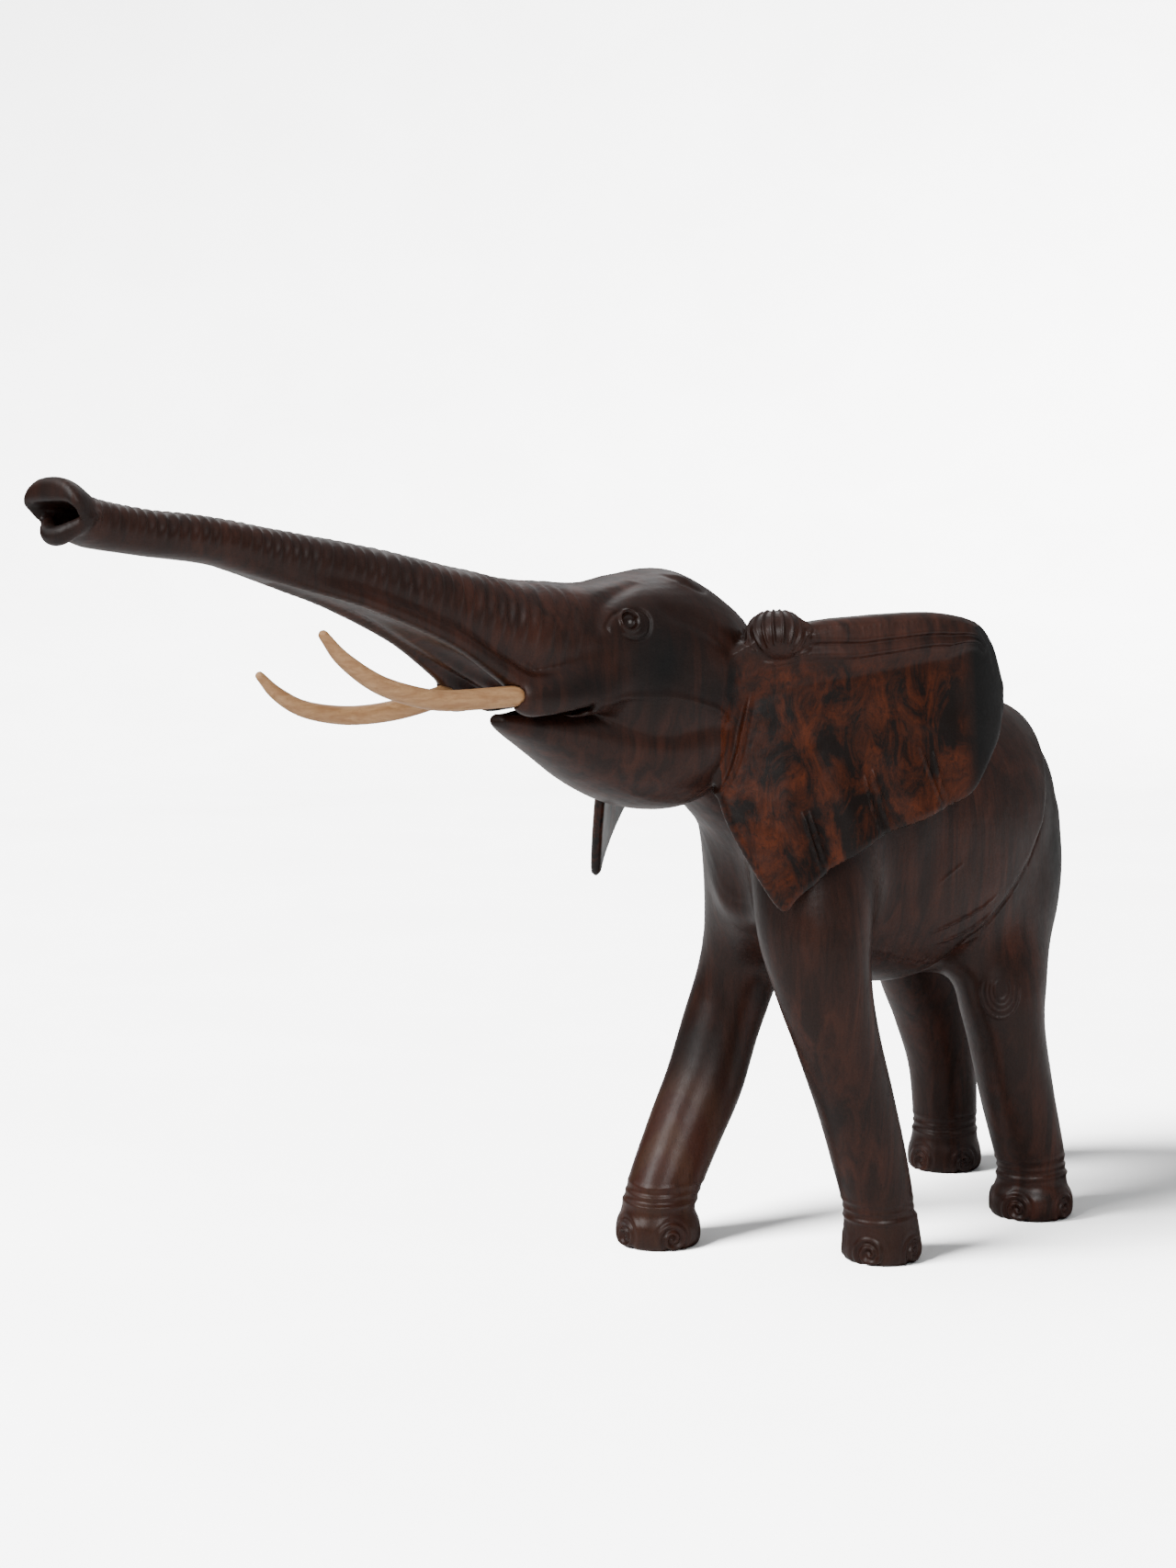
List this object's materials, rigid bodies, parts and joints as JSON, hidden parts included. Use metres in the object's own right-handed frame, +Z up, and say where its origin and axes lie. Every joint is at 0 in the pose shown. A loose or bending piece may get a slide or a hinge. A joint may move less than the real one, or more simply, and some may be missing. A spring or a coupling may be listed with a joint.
{
  "type": "carved wooden elephant",
  "caption": "Large carved dark-wood elephant walking with its trunk raised, with separate pale wooden tusks pushed into sockets beside the trunk.",
  "frame": {"origin": "centre of the bounding box at the height of the soles", "axes": "+Z up, -Y the way the elephant faces, +X its left side"},
  "size_m": [0.2586, 0.8218, 0.4738],
  "materials": {
    "dark_wood": "waxed semi-gloss, dark brown with red-brown figure",
    "tusk_wood": "smooth satin, pale orange tan with fine speckle"
  },
  "bodies": {
    "elephant": {"carved_body": "dark_wood"},
    "left_tusk": {"left_tusk": "tusk_wood"},
    "right_tusk": {"right_tusk": "tusk_wood"}
  },
  "joints": [
    {"name": "left_tusk_pull", "type": "slide", "parent": "elephant", "child": "left_tusk", "axis": [0.0963, -0.9952, -0.0161], "range_m": [0, 0.026]},
    {"name": "right_tusk_pull", "type": "slide", "parent": "elephant", "child": "right_tusk", "axis": [-0.1001, -0.9672, -0.2335], "range_m": [0, 0.026]}
  ]
}
